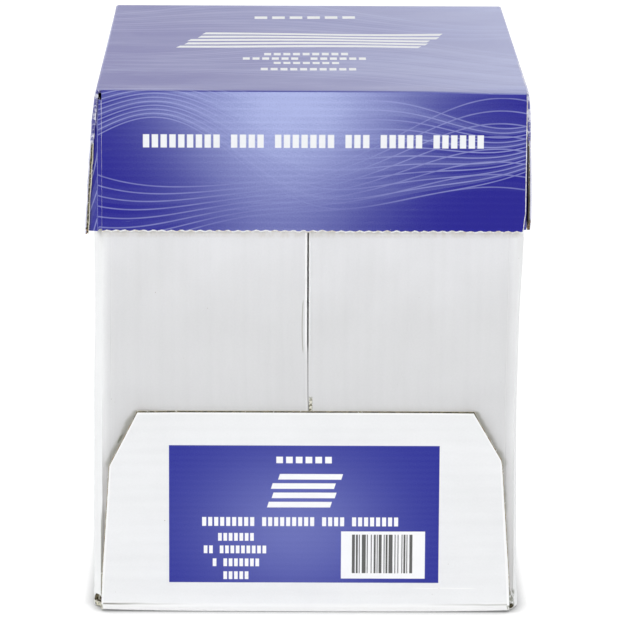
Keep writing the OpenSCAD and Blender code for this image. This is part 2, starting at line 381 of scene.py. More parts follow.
def label_face():
    p = Paint("tray_label_flap")
    blank = p.attribute("blank")
    color, height = white_face(p, blank, p.attribute("wear", "Fac"), WHITE_BOARD)
    x, _, z = p.object_place().parts()
    # Painted shade: a dark crease line across the flap's foot, strongest towards the ends and most at the
    # left.
    crease = abs(z - 0.0042 + (p.noise(p.place(x * 60, 0.0), 1.0, 2) - 0.5) * 0.001).ramp(0.0008, 0.0001)
    crease_shade_weight = abs(x + 0.0012).ramp(0.05, 0.108) * 0.45 + x.ramp(-0.085, -0.108) * 0.45
    color = p.mix(crease * crease_shade_weight, color, (0.20, 0.19, 0.15))
    # Painted highlight: a white line along the label flap's cut sides and top.
    inside = (flap_side(x, z) - abs(x - LABEL_X)).at_most(LABEL_TOP * MM - z)
    color = p.mix(inside.ramp(0.0011, 0.0006) * 0.9, color, (0.98, 0.98, 0.975))
    split = abs(z - 0.0129 + (p.noise(p.place(x * 90, 0.0), 1.0, 2) - 0.5) * 0.0008).ramp(0.00035, 0.0001)
    split = split * x.ramp(0.052, 0.060) * x.ramp(0.090, 0.084)
    smudge = p.noise(p.place(x * 70, z * 70), 1.0, 4, 0.7, 0.5).ramp(0.66, 0.80)
    color = p.mix(smudge * 0.10, color, (0.52, 0.51, 0.47))
    color = p.mix(split * 0.8, color, (0.98, 0.98, 0.97))
    field = bars(x, z, [LABEL_BOX])
    spread = ((x + 0.008) * 21).squared() + ((z - 0.046) * 26).squared()
    glow = (spread * -1).math("EXPONENT")
    grain = p.noise(blank, 1500, 2, 0.7)
    wash = flute_wave(blank.parts()[1], TRAY_FLUTE / 2)
    ink = p.mix(glow * 0.95 + (grain - 0.5) * 0.25 + wash * 0.03, (0.022, 0.027, 0.300), (0.150, 0.170, 0.48))
    marks = bars(x, z, [CODE_BOX]).at_least(sheet_stack(x, z, 55.5, 75.5, -2.4, 33, 4, 1.6))
    for low, high, middle, spans, pitch in LABEL_ROWS:
        marks = marks.at_least(words(x, middle, spans, pitch, 0.34) * row(z, low, high))
    ink = p.mix(marks, ink, INK_WHITE)
    scuff = p.noise(p.place(x * 300, z * 2400), 1.0, 2, 0.6).ramp(0.78, 0.9)
    ink = p.mix(scuff * 0.25, ink, (0.7, 0.7, 0.8))
    color = p.mix(field, color, ink)
    ends = CODE_BOX[0] + CODE_MARGIN + np.cumsum([0, *CODE_BARS]) * CODE_STEP
    stripes = [(low, CODE_LOW, high, CODE_HIGH) for low, high in zip(ends[::2], ends[1::2])]
    color = p.mix(bars(x, z, stripes, 0.00006) * 0.92, color, (0.055, 0.055, 0.05))
    return p.finish(color, 0.6, p.bump(height, 0.00018), Specular_IOR_Level=0.22)


def kraft_face(name, pitch):
    p = Paint(name)
    blank = p.attribute("blank")
    u, v, _ = blank.parts()
    flutes = flute_wave(v, pitch)
    fibres = p.noise(p.place(u * 90, v * 700), 1.0, 4, 0.65)
    cloud = p.noise(blank, 35, 4, 0.6)
    level = (fibres - 0.5) * 0.35 + (cloud - 0.5) * 0.3 + flutes * 0.12 + 0.95
    color = p.scale(KRAFT, level)
    return p.finish(color, 0.85, p.bump(flutes * 0.8 + fibres * 0.2, 0.0002), Specular_IOR_Level=0.2)


def raw_edge(name, outer_color, shell, printed=0.0):
    """A cut edge: outer facing, brown core, inner facing. shell is the outer facing's share of the board."""
    p = Paint(name)
    blank = p.attribute("blank")
    u, v, depth = blank.parts()
    place = p.object_place()
    x, _, high = place.parts()
    ragged = depth + (p.noise(blank, 420, 3, 0.7) - 0.5) * 0.55
    right = x.ramp(0.09, 0.10) * printed
    # The core is mottled from near black to dark brown: kraft, with painted shade for its open flutes.
    core = p.noise(p.place(u * 520, v * 520, depth * 4), 1.0, 3, 0.6)
    brown = p.mix(core.ramp(0.44, 0.62), (0.030, 0.026, 0.014), (0.25, 0.22, 0.135))
    cream = p.mix(p.noise(blank, 300, 2, 0.6).ramp(0.42, 0.62), outer_color, (0.90, 0.89, 0.86))
    color = p.mix((ragged - right * 0.25).ramp(shell + 0.05, shell - 0.05), brown, cream)
    color = p.mix(ragged.ramp(0.74, 0.84), color, (0.66, 0.64, 0.53))
    if printed:
        # Painted shade: on the lid's right, the cut edge's inner part is near black, for the dark gap behind
        # the print.
        color = p.mix(right * ragged.ramp(0.58, 0.70), color, (0.020, 0.016, 0.012))
        upper = (high + (p.noise(place, 130, 2) - 0.5) * 0.03).ramp(0.246, 0.252)
        scrap = p.mix(p.noise(place, 380, 3, 0.7).ramp(0.44, 0.60), (0.10, 0.10, 0.36), (0.72, 0.73, 0.86))
        color = p.mix(upper * printed, color, scrap)
    return p.finish(color, 0.9, p.bump(core, 0.0004), Specular_IOR_Level=0.15)


def medium_finish():
    p = Paint("flute_medium")
    place = p.object_place()
    level = (p.noise(place, 900, 3, 0.6) - 0.5) * 0.5 + 0.9
    return p.finish(p.scale(KRAFT, level), 0.9, Specular_IOR_Level=0.15)


def fluff_finish():
    p = Paint("torn_paper_fibre")
    place = p.object_place()
    tan = p.noise(place, 240, 2, 0.6).ramp(0.52, 0.62)
    return p.finish(p.mix(tan, (0.86, 0.85, 0.82), (0.52, 0.38, 0.2)), 0.9, Specular_IOR_Level=0.15)


LID_DEEP = (0.009, 0.006, 0.262)
LID_LIGHT = (0.42, 0.47, 0.78)
LID_WORDS = [(-19.5, -10.5), (-9.5, -5.5), (-4.5, 2.5), (3.5, 6.5), (7.5, 12.5), (13.5, 19.5)]
LID_ROWS = (  # on the top, as on the label
    (104, 113, -3, [(-3, 3)], 10.0), (-32, -24, -3, [(-4.5, 4.5)], 5.2),
    (-47, -39, -4, [(-6.5, -0.5), (0.5, 6.5)], 5.2), (-61, -54, -3, [(-3.5, 3.5)], 5.2),
    (-82, -74, -2, [(-5, 5)], 5.2))


def ribbons(across, down, base, waves, spread, swing, count, line):
    """A bundle of flowing lines: returns the lines' strength and a lighter tone between some of them.
    across and down are in millimetres; waves holds (height, rate, start) and swing (share, rate, start)."""
    centre = base
    for height, rate, start in waves:
        centre = (across * rate + start).math("SINE") * height + centre
    gap = (across * swing[1] + swing[2]).math("SINE") * (spread * swing[0]) + spread
    place = (down - centre) / gap
    near = abs(place)
    inside = near.ramp(count, count - 0.6)
    lines = (abs(place.math("FRACT") - 0.5) * gap).ramp(line, line * 0.45) * inside
    tone = ((place.math("FLOOR") * 2.1).math("SINE") * 0.5 + 0.5) * inside
    return lines, tone


def lid_face():
    p = Paint("lid_blue_print")
    blank = p.attribute("blank")
    wear = p.attribute("wear", "Fac")
    u, v, _ = blank.parts()
    turned = v.math("SIGN")
    end_wall = abs(v).ramp(0.1545, 0.1550)
    side_wall = abs(u).ramp(0.1108, 0.1114)
    on_top = (1.0 - end_wall) * (1.0 - side_wall)
    across = (u * turned * -1000) * (1.0 - side_wall) + (v * u.math("SIGN") * 1000) * side_wall
    down = (abs(v) * 1000 - 154.7) * (1.0 - side_wall) + (abs(u) * 1000 - 111.0) * side_wall
    flutes = flute_wave(v, LID_FLUTE)
    uneven = p.noise(p.place(u * 30, v * 260), 1.0, 2, 0.6)
    grain = p.noise(blank, 1500, 2, 0.75)
    fall = down.ramp(4, 74)
    beam = (across + 10.0 + down * 0.10) * (0.0165 + down * 0.00010)
    glow = ((beam * beam) * -1.0).math("EXPONENT") * (1.05 - fall * 0.68) * (1.0 - on_top)
    glow = glow * (1.0 - side_wall * 0.5)
    cloud = p.noise(p.place(u * 7, v * 9), 1.0, 5, 0.6, 0.6)
    streaks = p.noise(p.place(u * 6, v * 42), 1.0, 4, 0.6, 0.3)
    # Painted sheen: the lid's top is coloured a pale lilac, cloudy and streaked, lighter to the right and
    # towards the back, in place of its grazing reflection.
    top_sheen = cloud.ramp(0.40, 0.75) * 0.20 + streaks.ramp(0.45, 0.75) * 0.14 + 0.13
    top_sheen = top_sheen + u * 2.0 + u.ramp(0.02, 0.12) * 0.17 + v.ramp(0.04, 0.15) * 0.10
    glow = glow * (cloud * 0.5 + 0.72) + top_sheen * on_top + cloud.ramp(0.50, 0.8) * 0.05 * (1.0 - on_top)
    beside = abs(across + 8.0).ramp(22, 70) * 0.75 + 0.25
    first, first_tone = ribbons(across, down, 21.0, [(15.0, 0.022, 0.5), (5.0, 0.051, 2.2)], 3.6,
                                (0.42, 0.031, 1.0), 6.0, 0.42)
    second, second_tone = ribbons(across, down, 47.0, [(-17.0, 0.0195, -0.2), (4.0, 0.043, 0.4)], 4.6,
                                  (0.45, 0.024, -0.9), 4.0, 0.46)
    third, third_tone = ribbons(u * 1000, v * 1000, -70.0, [(30.0, 0.017, 1.9), (9.0, 0.037, 0.2)], 8.5,
                                (0.40, 0.021, 0.4), 7.0, 0.8)
    fourth, fourth_tone = ribbons(u * -1000, v * 1000, 84.0, [(26.0, 0.019, 0.6), (8.0, 0.033, 1.2)], 7.5,
                                  (0.40, 0.023, 0.9), 6.0, 0.8)
    tone = first_tone * 0.12 + second_tone * 0.03
    glow = glow + tone * beside + third_tone.at_least(fourth_tone) * 0.12 * on_top
    glow = glow + (grain - 0.5) * (glow * 0.75 + 0.07)
    glow = glow + (flutes.math("POWER", 3) - 0.3) * (uneven * 1.6 - 0.25) * (glow * 0.16 + 0.016)
    color = p.mix(glow.at_least(0.0).at_most(1.0), LID_DEEP, LID_LIGHT)
    lines = (first * 0.62).at_least(second * 0.5) * beside
    lines = lines.at_least(third.at_least(fourth) * 0.34 * on_top) * (p.noise(blank, 45, 2) * 0.9 + 0.35)
    color = p.mix(lines.at_most(1.0), color, (0.40, 0.43, 0.76))
    text = words(u * turned * -1, 0.2, LID_WORDS, 4.53) * row(abs(v), 177.0, 183.9) * (1.0 - side_wall)
    marks = text.at_least(sheet_stack(u, v, -7, 52, 0, 132, 5, 3.4))
    for low, high, middle, spans, pitch in LID_ROWS:
        marks = marks.at_least(words(u, middle, spans, pitch) * row(v, low, high))
    color = p.mix(marks, color, (0.87, 0.88, 0.90))
    crack = p.noise(p.place(u * 420, v * 420), 1.0, 3, 0.7)
    worn = (wear * 2.2 - (crack - 0.5) * 3.0 - 0.9).ramp(0.0, 0.5) * wear.ramp(0.02, 0.2)
    color = p.mix(worn, color, p.mix(crack.ramp(0.45, 0.62), (0.88, 0.88, 0.88), (0.70, 0.64, 0.54)))
    rub = p.noise(p.place(u * 46, v * 300), 1.0, 4, 0.72).ramp(0.64, 0.80)
    color = p.mix(rub * 0.13, color, (0.62, 0.62, 0.80))
    height = flutes * 0.30 + p.noise(blank, 60, 3, 0.6) * 0.9 + uneven * 0.25
    rough = 0.36 + (grain - 0.5) * 0.12 + worn * 0.3
    return p.finish(color, rough, p.bump(height, 0.00018), Specular_IOR_Level=0.22, Coat_Weight=0.5,
                    Coat_Roughness=0.27, Coat_IOR=1.28)


def wrapper_finish(name, foot):
    """Glossy white ream wrap with pulled creases. foot is the height that the ream stands at."""
    p = Paint(name)
    place = p.object_place()
    x, y, z = place.parts()
    wrinkle = p.noise(place, 26, 5, 0.6, 0.6)
    pulled = p.noise(p.place(x * 14, y * 60, z * 30), 1.0, 4, 0.6, 1.2)
    crease = abs(pulled - 0.5).ramp(0.030, 0.0) * abs(y).ramp(0.09, 0.15)
    fine = p.noise(place, 500, 2, 0.6)
    # Creases are a little darker in colour: painted shade, besides their bump.
    level = (wrinkle - 0.5) * 0.10 + (fine - 0.5) * 0.03 - crease * 0.02 + 1.0
    lap = (abs(x) + abs(z - foot - 0.027) * 0.9 - 0.0817).ramp(0.0012, 0.0) * abs(y).ramp(0.1480, 0.1486)
    level = level + lap * 0.05
    color = p.scale(WRAPPER_WHITE, level)
    overlap = abs(x - 0.022).ramp(0.0009, 0.0003)
    color = p.mix(overlap * 0.18, color, (0.60, 0.61, 0.63))
    height = wrinkle + crease * 0.4 + overlap * 0.4
    return p.finish(color, 0.42, p.bump(height, 0.0008), Specular_IOR_Level=0.45)


# Sheets: thick folded board, gathered from patches of points on the flat and the folds

def smooth(t):
    t = np.clip(t, 0, 1)
    return t * t * (3 - 2 * t)


def ripple(seed, length, count=8):
    """A smooth random field of two values in millimetres, mostly between -1 and 1."""
    rng = np.random.default_rng(seed)
    angle = rng.uniform(0, 2 * np.pi, count)
    lengths = length * rng.uniform(0.6, 1.8, count)
    phase = rng.uniform(0, 2 * np.pi, count)

    def field(a, b):
        waves = [np.sin(2 * np.pi * (a * np.cos(t) + b * np.sin(t)) / run + start)
                 for t, run, start in zip(angle, lengths, phase)]
        return sum(waves) / math.sqrt(count) / 1.4

    return field


class Sheet:
    """A sheet with two faces. Patches that share points are one sheet; what stays open gets a cut edge."""

    def __init__(self):
        self.found = {}
        self.outer, self.inner, self.blank, self.wear, self.tag = [], [], [], [], []
        self.faces, self.slots = [], []

    def point(self, outer, inner, blank, wear=0.0, tag=0):
        key = tuple(int(round(c * 1000)) for c in outer) + (int(tag),)
        if key not in self.found:
            self.found[key] = len(self.outer)
            for store, value in ((self.outer, outer), (self.inner, inner), (self.blank, blank),
                                 (self.wear, wear), (self.tag, tag)):
                store.append(value)
        return self.found[key]

    def face(self, ids, slot):
        """Adds one face, turned so that its front is on the outer side."""
        ids = [v for k, v in enumerate(ids) if v != ids[k - 1]]
        if len(ids) < 3:
            return
        corners = np.array([self.outer[v] for v in ids])
        through = sum(self.outer[v] - self.inner[v] for v in ids)
        normal = sum(np.cross(a - corners[0], b - corners[0]) for a, b in zip(corners[1:], corners[2:]))
        self.faces.append(ids if np.dot(normal, through) > 0 else ids[::-1])
        self.slots.append(slot)

    def patch(self, outer, inner, blank, slot=0, wear=0.0, tag=0):
        """Adds a grid of points, rows by columns, given in millimetres by arrays for its two faces."""
        rows, columns = outer.shape[:2]
        wear, tag = (np.broadcast_to(value, (rows, columns)) for value in (wear, tag))
        ids = [[self.point(*point) for point in zip(*line)] for line in zip(outer, inner, blank, wear, tag)]
        i, j = rows // 2 - 1, columns // 2 - 1
        normal = np.cross(outer[i, j + 1] - outer[i, j], outer[i + 1, j] - outer[i, j])
        turn = 1 if np.dot(normal, outer[i, j] - inner[i, j]) > 0 else -1
        for upper, lower in zip(ids, ids[1:]):
            for a, b, c, d in zip(upper, upper[1:], lower[1:], lower):
                self.faces.append([a, b, c, d][::turn])
                self.slots.append(slot)
        return ids

    def stitch(self, coarse, fine, slot=0):
        """Joins a row of points to a finer row beside it that has the same two ends."""
        step = (len(fine) - 1) // (len(coarse) - 1)
        for k in range(len(coarse) - 1):
            middle = k * step + step // 2
            for j in range(k * step, middle):
                self.face([coarse[k], fine[j], fine[j + 1]], slot)
            self.face([coarse[k], fine[middle], coarse[k + 1]], slot)
            for j in range(middle, (k + 1) * step):
                self.face([coarse[k + 1], fine[j], fine[j + 1]], slot)

    def rim(self):
        """The open border, as pairs of points in the order of the outer face."""
        edges = {(a, b) for ids in self.faces for a, b in zip(ids, ids[1:] + ids[:1])}
        return [(a, b) for a, b in sorted(edges) if (b, a) not in edges]

    def build(self, name, materials, edge_slot, inner_slot, bend, groove=None, facing=0.4, depth=4.0):
        """Makes the mesh object. groove(point, tag) is the way into the board where its flutes stand open."""
        outer, inner = np.array(self.outer, float), np.array(self.inner, float)
        flat, tag, count = np.array(self.blank, float), np.array(self.tag), len(self.outer)
        points, tags, wear = [outer, inner], [tag, tag], [np.array(self.wear, float), np.zeros(count)]
        blank = [np.c_[flat, np.zeros(count)], np.c_[flat, np.ones(count)]]
        rim, open_at = self.rim(), {}
        for v in sorted({v for edge in rim for v in edge}):
            into = groove(outer[v], tag[v]) if groove else None
            if into is not None:
                open_at[v] = 2 * count + 4 * len(open_at)
                across = (inner[v] - outer[v]) / np.linalg.norm(inner[v] - outer[v])
                a, d, into = outer[v] + across * facing, inner[v] - across * facing, np.array(into, float)
                points.append(np.array([a, a + into * depth, d + into * depth, d]))
                tags.append(np.full(4, tag[v]))
                blank.append(np.c_[np.tile(flat[v], (4, 1)), [0.15, 0.4, 0.6, 0.85]])
                wear.append(np.zeros(4))
        faces = list(self.faces) + [[v + count for v in ids[::-1]] for ids in self.faces]
        slots = list(self.slots) + [inner_slot] * len(self.faces)
        grooved = []
        for a, b in rim:
            if a in open_at and b in open_at:
                left = [a] + [open_at[a] + k for k in range(4)] + [a + count]
                right = [b] + [open_at[b] + k for k in range(4)] + [b + count]
                faces += [[right[k], left[k], left[k + 1], right[k + 1]] for k in range(5)]
                slots += [edge_slot] * 5
                grooved.append((a, b))
            else:
                faces.append([b, a, a + count, b + count])
                slots.append(edge_slot)
        placed = bend(np.concatenate(points), np.concatenate(tags))
        self.grooves = [[[placed[open_at[v] + k] for k in range(4)] for v in run] for run in chains(grooved)]
        self.edges = [[(placed[v], placed[v + count]) for v in run] for run in chains(rim)]
        return make_mesh(name, placed, faces, slots, materials, np.concatenate(blank), np.concatenate(wear))


def chains(edges):
    """Sorts directed edges into runs of points, end to end."""
    after, ends = dict(edges), {b for _, b in edges}
    runs = []
    for start in [a for a in after if a not in ends] + sorted(after):
        run = [start]
        while run[-1] in after:
            run.append(after.pop(run[-1]))
        if len(run) > 1:
            runs.append(run)
    return runs


def make_mesh(name, points_mm, faces, slots, materials, blank=None, wear=None, angle=32):
    mesh = bpy.data.meshes.new(name)
    mesh.from_pydata((np.asarray(points_mm) * MM).tolist(), [], faces)
    for material in materials:
        mesh.materials.append(material)
    mesh.polygons.foreach_set("material_index", np.array(slots, np.int32))
    if blank is not None:
        flat = np.array(blank, np.float32)
        flat[:, :2] *= MM
        mesh.attributes.new("blank", "FLOAT_VECTOR", "POINT").data.foreach_set("vector", flat.ravel())
        mesh.attributes.new("wear", "FLOAT", "POINT").data.foreach_set("value", np.array(wear, np.float32))
    mesh.shade_smooth()
    mesh.set_sharp_from_angle(angle=math.radians(angle))
    mesh.validate()
    mesh.update()
    return put_in_scene(name, mesh)


def grid(rows, columns):
    return np.meshgrid(np.asarray(rows, float), np.asarray(columns, float), indexing="ij")


def stack(*values):
    return np.stack(np.broadcast_arrays(*values), -1).astype(float)


def steps(low, high, run):
    return np.linspace(low, high, max(2, int(round(abs(high - low) / run)) + 1))


def travelled(*path):
    """How far along a path each of its points is, from their coordinates."""
    return np.concatenate([[0], np.cumsum(np.linalg.norm(np.diff(path), axis=0))])


# The tray. Sizes in millimetres repeat the part's source.

HALF_W, INNER_W = 109.0, 106.0
HALF_L, INNER_L = 153.0, 150.0
BOARD, CREASE = 3.0, 0.5
FOLD_LOSS, FOLD_RUN = 1.3, 4.7  # how much shorter a fold makes the blank, and how much of it lies in the fold
RIM = 275.4
FLAP_FOOT, TEAR, TORN_TO = 3.8, 6.8, -144.1
LABEL_TOP, LABEL_KNEE, LABEL_SHIFT = 107.3, 78.5, -1.4
TRAY_Z = np.unique(np.concatenate([[3.0, FLAP_FOOT, 5.2], steps(TEAR, 104, 5), steps(104, 124, 3),
                                   steps(124, RIM - 5, 5), [RIM - 1.5, RIM]]))
TRAY_Y = np.unique(np.concatenate([[-148.6, -147.2], steps(-INNER_L, INNER_L, 6)]))
FLOOR_X = steps(-INNER_W, INNER_W, 4.4)
SEAM_RUN = np.array([0, 0.25, 0.7, 1.4, 2.4, 4, 6.5, 9.5])


def pressed(turn, sharp=0.62):
    """A quarter of a pressed fold, squarer than a circle: its two coordinates from 0 to 1."""
    return np.abs(np.cos(turn)) ** sharp, np.abs(np.sin(turn)) ** sharp


def seam_gap(z):
    return np.interp(z, [0, 106, 138, 144, 200, RIM], [0.5, 0.3, 0.35, 0.9, 1.0, 1.5])


def seam_at(z):
    return np.interp(z, [0, 106, 114, 150, 200, RIM], [0.2, 0.3, -0.3, -0.8, -1.45, -1.6])


def add_tray_walls(sheet):
    for side in (-1, 1):
        whole = TRAY_Y >= (TORN_TO if side < 0 else -INNER_L)
        for rows, columns in ((TRAY_Z[TRAY_Z >= TEAR], TRAY_Y), (TRAY_Z[TRAY_Z <= TEAR], TRAY_Y[whole])):
            z, y = grid(rows, columns)
            far_y, far_z = np.clip(y, CREASE - INNER_L, INNER_L - CREASE), np.maximum(z, BOARD + CREASE)
            sheet.patch(stack(side * HALF_W, y, z), stack(side * INNER_W, far_y, far_z),
                        stack(side * (HALF_W - FOLD_LOSS + z), y))
        for end in (-1, 1):
            left_front = (side, end) == (-1, -1)
            low = TEAR if left_front else FLAP_FOOT
            for rows, last in ((TRAY_Z[TRAY_Z >= low], 90), (TRAY_Z[TRAY_Z <= low], 45)):
                if last == 45 and left_front:
                    continue
                z, turn = grid(rows, np.radians(steps(0, last, 15)))
                (ox, oy), (ix, iy) = pressed(turn, 0.8), pressed(turn, 1.0)
                outer = stack(side * (INNER_W + BOARD * ox), end * (INNER_L + BOARD * oy), z)
                inner = stack(side * (INNER_W - CREASE + CREASE * ix), end * (INNER_L - CREASE + CREASE * iy),
                              np.maximum(z, BOARD + CREASE))
                flat = stack(side * (HALF_W - FOLD_LOSS + z), end * (INNER_L + BOARD * turn))
                sheet.patch(outer, inner, flat, wear=0.12)
            from_seam = np.concatenate([SEAM_RUN, steps(14, INNER_W, 4.6)])
            z, back = grid(TRAY_Z[TRAY_Z >= FLAP_FOOT], from_seam[::-1])
            share = back / INNER_W
            seam = seam_at(z) * (end < 0) + side * seam_gap(z) / 2
            x = seam * (1 - share) + side * INNER_W * share
            pale = np.interp(z, [100, 136, 146], [0.15, 0.25, 1])
            curl = np.interp(back, [0, 0.25, 0.7], [0.22, 0.06, 0]) * (1 if side > 0 else 0.3)
            far_x = np.where(back > INNER_W - 0.1, side * (INNER_W - CREASE), x)
            # Near the seam, wear whitens the torn liner along the cut edges and also paints a highlight on
            # their rounded lips.
            sheet.patch(stack(x, end * (HALF_L - curl), z), stack(far_x, end * INNER_L, z),
                        stack(side * (HALF_W - FOLD_LOSS + z), end * (INNER_L + FOLD_RUN + INNER_W - back)),
                        wear=np.interp(back, [0, 0.7, 1.4], [1, 1, 0] if side < 0 else [0.8, 0.1, 0]) * pale)


def add_tray_floor(sheet):
    turn, y = np.radians(steps(0, 90, 18)), TRAY_Y[:, None]
    across, down = pressed(turn)
    far_y = np.clip(y, CREASE - INNER_L, INNER_L - CREASE)
    far_x, far_z = INNER_W - CREASE + CREASE * np.cos(turn), BOARD + CREASE - CREASE * np.sin(turn)
    for side in (-1, 1):
        sheet.patch(stack(side * (INNER_W + BOARD * across), y, BOARD - BOARD * down),
                    stack(side * far_x, far_y, far_z),
                    stack(side * (INNER_W + BOARD * (math.pi / 2 - turn)), y), wear=0.5)
    sheet.patch(stack(FLOOR_X, y, 0), stack(FLOOR_X * (INNER_W - CREASE) / INNER_W, y, BOARD),
                stack(FLOOR_X, y))


def label_half(x, z):
    """Half the label flap's width: its right corner is cut off from a little higher up."""
    left = np.interp(z, [0, 22, 47, LABEL_KNEE, LABEL_TOP], [107.3, 106.4, 104.7, 102.7, 88.0])
    right = np.interp(z, [0, 22, 47, LABEL_KNEE + 3, LABEL_TOP], [107.3, 106.4, 104.6, 102.2, 87.2])
    return np.where(x < 0, left, right)


def add_label_flaps(sheet):
    turn = np.radians(steps(0, 90, 15))
    lift = np.unique(np.concatenate([[3.0, 4.0, 5.0, 6.5], steps(9, LABEL_KNEE, 5),
                                     steps(LABEL_KNEE, LABEL_TOP, 3.6)]))[1:]
    rest, out = pressed(turn, 0.35)
    start, straight = [INNER_L, INNER_L + BOARD / 2], np.ones(len(lift))
    path_y = np.concatenate([start, HALF_L + BOARD * out, straight * (HALF_L + BOARD)])
    path_z = np.concatenate([[0, 0], BOARD - BOARD * rest, lift])
    far_y = np.concatenate([start, HALF_L - CREASE + CREASE * np.sin(turn), straight * HALF_L])
    far_z = np.concatenate([[3, 3], BOARD + CREASE - CREASE * np.cos(turn), np.maximum(lift, 3.5)])
    far_z[-1] += 0.6
    run = travelled(path_y, path_z)
    path_y, path_z, far_y, far_z, run = (values[:, None] for values in (path_y, path_z, far_y, far_z, run))
    q, on_flap = FLOOR_X / INNER_W, np.arange(len(run))[:, None] > 0
    past = (path_y - INNER_L) / BOARD
    half = np.where(path_y < HALF_L - 0.1, INNER_W + past * 1.4, label_half(q, path_z))
    x = q * half + np.clip(past, 0, 1) * LABEL_SHIFT
    far_x = np.where(on_flap, x, x * (INNER_W - CREASE) / INNER_W)
    far_x = far_x + np.where(np.abs(q) > 0.999, np.sign(q) * 0.5, 0) * (path_z > 8)
    # The flap's foot fold is whitened as wear, and as a painted highlight where it turns under.
    worn = np.interp(path_z, [0, 2.9, 4.0, 5], [0.8, 1.0, 0.7, 0])
    for end in (-1, 1):
        outer, inner = stack(x, end * path_y, path_z), stack(far_x, end * far_y, far_z)
        flat = stack(x, end * (INNER_L + run))
        for part, slot in ((slice(9), 0), (slice(8, None), 3 if end < 0 else 0)):
            sheet.patch(outer[part], inner[part], flat[part], slot, worn[part], on_flap[part].astype(int))


CORNER_Z = [0, 60, 110, 150, 200, 225, RIM]
CORNER_LEFT = [-109.3, -108.7, -108.6, -108.4, -108.1, -107.1, -106.75]
CORNER_RIGHT = [108.8, 108.2, 107.9, 108.3, 109.2, 109.6, 109.85]
BULGE_Z = [0, 43, 110, 150, 185, 198, 206, 240, RIM]
BULGE_LEFT = [3.9, 4.4, 4.3, 4.2, 4.2, 4.2, 4.2, 2.4, 0.0]
BULGE_RIGHT = [1.8, 1.4, 1.3, 2.0, 2.7, 2.6, 1.9, 0.7, 0.0]
wall_ripple, end_ripple, label_ripple = ripple(3, 95), ripple(11, 60), ripple(19, 45)


def shaped_tray(points, tags):
    """Racks the tray, bulges its sides, lifts the label flaps' corners. The tag is 1 on the label flaps."""
    x, y, z = points.T.copy()
    end, side, label = np.sign(y), np.sign(x), tags == 1
    left, right = np.interp(z, CORNER_Z, CORNER_LEFT), np.interp(z, CORNER_Z, CORNER_RIGHT)
    placed_x = np.where(label, x, left + (right - left) * (x + HALF_W) / (2 * HALF_W))
    knuckle = smooth((INNER_L - np.abs(y)) / (20 - 13 * smooth((14 - z) / 10) * (y < 0)))
    reach = smooth((np.abs(x) - 92) / 14)
    bulge = np.where(x < 0, np.interp(z, BULGE_Z, BULGE_LEFT), np.interp(z, BULGE_Z, BULGE_RIGHT))
    calm = smooth(z / 30) * smooth((RIM - z) / 60)
    placed_x += side * reach * knuckle * (bulge + 0.35 * wall_ripple(y, z) * calm) * ~label

    across = np.clip(np.abs(x - LABEL_SHIFT) / label_half(x, np.clip(z, 0, LABEL_TOP)), 0, 1.02)
    curl = smooth((across - 0.72) / 0.28) * (0.25 + 0.75 * smooth((z - 5) / 60)) * np.where(x < 0, 1.0, 0.72)
    through = (np.abs(y) - HALF_L) / BOARD
    uneven = 0.10 * label_ripple(x, z * end) * (1 - curl)
    seat = HALF_L - 0.25 + curl * 0.85 + uneven + np.clip(through, 0, 1) * 2.3
    rise = smooth((z - 3) / 5) * (np.abs(y) > HALF_L - 0.6)
    y_label = np.abs(y) * (1 - rise) + seat * rise

    behind = smooth((122 - z) / 12) * (0.40 + 1.0 * smooth((np.abs(x) - 72) / 22)) * smooth(z / 12)
    behind = behind * smooth((108.7 - np.abs(x)) / 1.5)
    fold = 0.24 * np.clip(x - 103.6, 0, 5) * (x > 0) + 0.05 * np.clip(-103.6 - x, 0, 5) * (x < 0)
    sway = 0.22 * end_ripple(x, z * 0.8 + 400 * (end > 0)) * smooth((100 - np.abs(x)) / 20)
    ends = smooth((np.abs(y) - 146) / 4)
    y_wall = np.abs(y) - ends * (behind + fold * (end < 0) + np.where(z < 200, sway, sway * 0.3))
    corner = (np.clip(np.abs(x), 0, 110) / 108) ** 4 * np.exp(-np.abs(156 - np.abs(y)) / 16)
    lifted = z + 1.1 * corner * np.exp(-z / 26) * (end < 0) * label
    return np.stack([placed_x, end * np.where(label, y_label, y_wall), lifted], -1)


def tray_groove(point, tag):
    if abs(point[2] - RIM) < 0.01:
        return 0, 0, -1
    on_side = abs(abs(point[0] - LABEL_SHIFT) - label_half(point[0], point[2])) < 0.01
    if tag == 1 and on_side and 9 < point[2] < LABEL_TOP - 2:
        return -math.copysign(1, point[0]), 0, 0
    return None


def make_tray(finishes):
    sheet = Sheet()
    add_tray_walls(sheet)
    add_tray_floor(sheet)
    add_label_flaps(sheet)
    tray = sheet.build("tray_board", finishes, 2, 1, shaped_tray, tray_groove)
    return tray, sheet


# The lid

LID_T = 1.4
LID_TOP, LID_FOOT, FOLD_Z = 276.9, 202.9, 275.4
END_Y, SIDE_Y = 153.5, 154.5
FACE_Y = 155.0
FLAT_X = (-107.4, 111.0)
EDGE_X = (-109.1, 110.9)
FOLD_R, CORNER_R = 1.5, 0.75
TOOTH = 4.75
TAB_TOP, TAB_FOOT = 272.0, 204.6
WALL_Z = np.array([203, 219.6, 234.3, 251, 265.6, 275.4])
WALL_LEFT = np.array([-115.9, -115.0, -114.1, -113.0, -111.7, -110.6])
WALL_RIGHT = np.array([114.2, 114.3, 114.0, 113.5, 113.1, 112.4])
LID_X = np.concatenate([[EDGE_X[0]], np.linspace(*FLAT_X, 47), [EDGE_X[1]]])
LID_Y = np.linspace(-END_Y, END_Y, 66)
LID_Z = np.concatenate([[FOLD_Z, 273.6, TAB_TOP], np.linspace(268.5, 209.0, 16), [TAB_FOOT]])
FOOT_Z = np.array([TAB_FOOT, 203.75, 203.5, LID_FOOT])
FOOT_WEAR = np.array([0, 0, 1, 1])
FINE = 4
